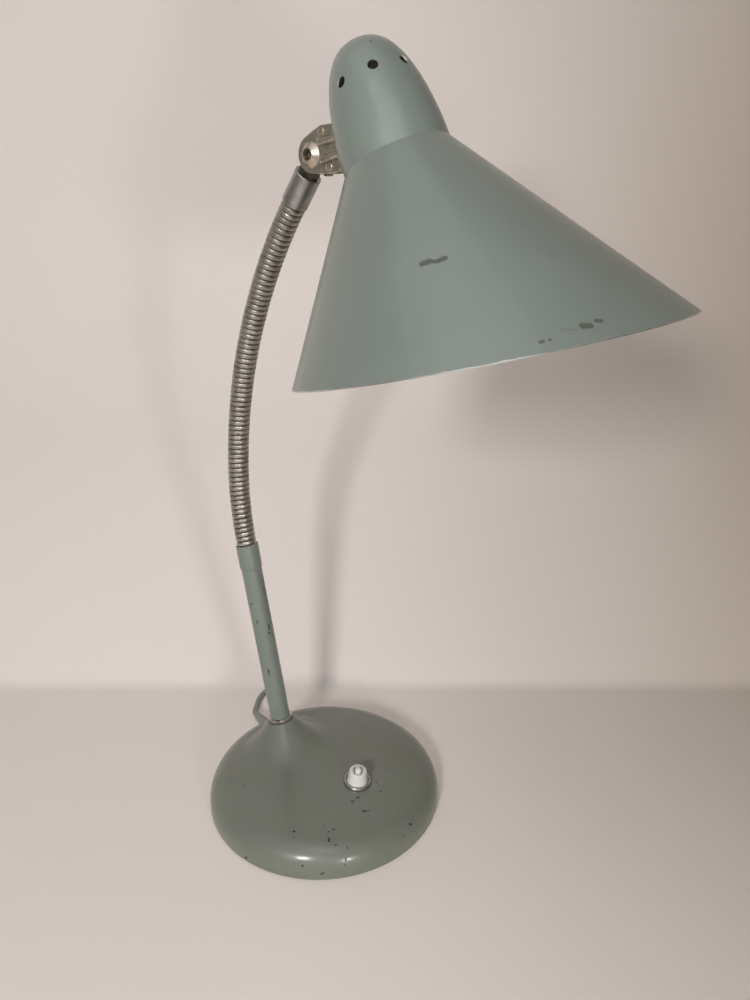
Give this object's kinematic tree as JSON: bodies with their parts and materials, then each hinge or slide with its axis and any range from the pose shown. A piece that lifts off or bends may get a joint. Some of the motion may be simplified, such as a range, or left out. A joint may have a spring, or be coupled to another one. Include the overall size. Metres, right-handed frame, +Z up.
{
  "type": "gooseneck desk lamp",
  "caption": "Desk lamp with a domed weighted foot, a leaning stem, a bendable wound steel gooseneck, a tilt joint, a spun conical shade with a bulb, a toggle switch, a coiled cord and a plug.",
  "frame": {"origin": "middle of the foot, on the table it stands on", "axes": "+Z up; +X forwards, from the stem towards the switch and the shade; +Y to the left"},
  "size_m": [0.5177, 0.2503, 0.5268],
  "materials": {
    "green_enamel": "semi-gloss baked enamel, chipped",
    "cast_iron": "rough casting",
    "plain_steel": "plain steel, worn",
    "hose_steel": "wound strip, dull",
    "nickel": "worn nickel plate",
    "felt": "felt",
    "brass": "plain brass",
    "black_bakelite": "moulded, polished",
    "white_ceramic": "glazed",
    "white_plastic": "moulded",
    "grey_flex": "matt sheath",
    "opal_glass": "opal"
  },
  "bodies": {
    "base": {"base_shell": "green_enamel", "base_weight": "cast_iron", "bottom_plate": "plain_steel", "felt_pad": "felt", "plate_screws": "plain_steel", "cord_sleeve": "grey_flex", "foot_ring": "plain_steel", "stem_tube": "green_enamel", "stem_washer": "plain_steel", "stem_nut": "plain_steel", "hose_root": "plain_steel", "switch_ring": "plain_steel", "switch_cap": "white_plastic", "switch_body": "white_plastic", "switch_terminals": "brass", "cord_tube": "grey_flex", "cord_coil": "grey_flex", "cord_tail": "grey_flex", "plug_body": "grey_flex", "plug_pins": "brass"},
    "hose_01": {"neck_01": "hose_steel"},
    "hose_02": {"neck_02": "hose_steel"},
    "hose_03": {"neck_03": "hose_steel"},
    "hose_04": {"neck_04": "hose_steel"},
    "hose_05": {"neck_05": "hose_steel"},
    "hose_06": {"neck_06": "hose_steel"},
    "hose_07": {"neck_07": "hose_steel"},
    "hose_08": {"neck_08": "hose_steel"},
    "hose_09": {"neck_09": "hose_steel"},
    "hose_10": {"neck_10": "hose_steel"},
    "hose_11": {"neck_11": "hose_steel"},
    "hose_12": {"neck_12": "hose_steel"},
    "hose_13": {"neck_13": "hose_steel"},
    "hose_14": {"neck_14": "hose_steel", "top_ferrule": "plain_steel", "joint_tongue": "nickel"},
    "shade_head": {"left_cheek": "nickel", "right_cheek": "nickel", "tilt_screw": "plain_steel", "friction_washers": "plain_steel", "cheek_rivets": "nickel", "shade_lug": "nickel", "lug_screws": "plain_steel", "shade": "green_enamel", "inner_bracket": "plain_steel", "holder_nipple": "brass", "holder_cap": "black_bakelite", "holder_body": "black_bakelite", "thread_shell": "brass", "centre_contact": "white_ceramic", "bulb_cap": "plain_steel", "bulb_glass": "opal_glass"},
    "toggle": {"switch_lever": "white_plastic"}
  },
  "joints": [
    {"name": "bend_01", "type": "hinge", "parent": "base", "child": "hose_01", "pos_m": [-0.07571, 0, 0.18863], "axis": [0, 1, 0], "range_deg": [-5, 5]},
    {"name": "sway_02", "type": "hinge", "parent": "hose_01", "child": "hose_02", "pos_m": [-0.07903, 0, 0.20708], "axis": [-0.9942, 0, -0.108], "range_deg": [-5, 5]},
    {"name": "bend_03", "type": "hinge", "parent": "hose_02", "child": "hose_03", "pos_m": [-0.08087, 0, 0.22575], "axis": [0, 1, 0], "range_deg": [-5, 5]},
    {"name": "sway_04", "type": "hinge", "parent": "hose_03", "child": "hose_04", "pos_m": [-0.0812, 0, 0.2445], "axis": [-0.9986, 0, 0.0523], "range_deg": [-5, 5]},
    {"name": "bend_05", "type": "hinge", "parent": "hose_04", "child": "hose_05", "pos_m": [-0.08009, 0, 0.26322], "axis": [0, 1, 0], "range_deg": [-5, 5]},
    {"name": "sway_06", "type": "hinge", "parent": "hose_05", "child": "hose_06", "pos_m": [-0.07797, 0, 0.28185], "axis": [-0.9871, 0, 0.1599], "range_deg": [-5, 5]},
    {"name": "bend_07", "type": "hinge", "parent": "hose_06", "child": "hose_07", "pos_m": [-0.07485, 0, 0.30034], "axis": [0, 1, 0], "range_deg": [-5, 5]},
    {"name": "sway_08", "type": "hinge", "parent": "hose_07", "child": "hose_08", "pos_m": [-0.07073, 0, 0.31863], "axis": [-0.9641, 0, 0.2656], "range_deg": [-5, 5]},
    {"name": "bend_09", "type": "hinge", "parent": "hose_08", "child": "hose_09", "pos_m": [-0.06562, 0, 0.33667], "axis": [0, 1, 0], "range_deg": [-5, 5]},
    {"name": "sway_10", "type": "hinge", "parent": "hose_09", "child": "hose_10", "pos_m": [-0.05955, 0, 0.35441], "axis": [-0.9298, 0, 0.3681], "range_deg": [-5, 5]},
    {"name": "bend_11", "type": "hinge", "parent": "hose_10", "child": "hose_11", "pos_m": [-0.05253, 0, 0.3718], "axis": [0, 1, 0], "range_deg": [-5, 5]},
    {"name": "sway_12", "type": "hinge", "parent": "hose_11", "child": "hose_12", "pos_m": [-0.04458, 0, 0.38878], "axis": [-0.8846, 0, 0.4664], "range_deg": [-5, 5]},
    {"name": "bend_13", "type": "hinge", "parent": "hose_12", "child": "hose_13", "pos_m": [-0.03572, 0, 0.40531], "axis": [0, 1, 0], "range_deg": [-5, 5]},
    {"name": "sway_14", "type": "hinge", "parent": "hose_13", "child": "hose_14", "pos_m": [-0.02598, 0, 0.42134], "axis": [-0.829, 0, 0.5592], "range_deg": [-5, 5]},
    {"name": "shade_tilt", "type": "hinge", "parent": "hose_14", "child": "shade_head", "pos_m": [0.00934, 0, 0.46951], "axis": [0, -1, 0], "range_deg": [-20, 70]},
    {"name": "toggle_throw", "type": "hinge", "parent": "base", "child": "toggle", "pos_m": [0.03473, 0, 0.02545], "axis": [-0.763, -0.6428, 0.0684], "range_deg": [0, 13]}
  ]
}
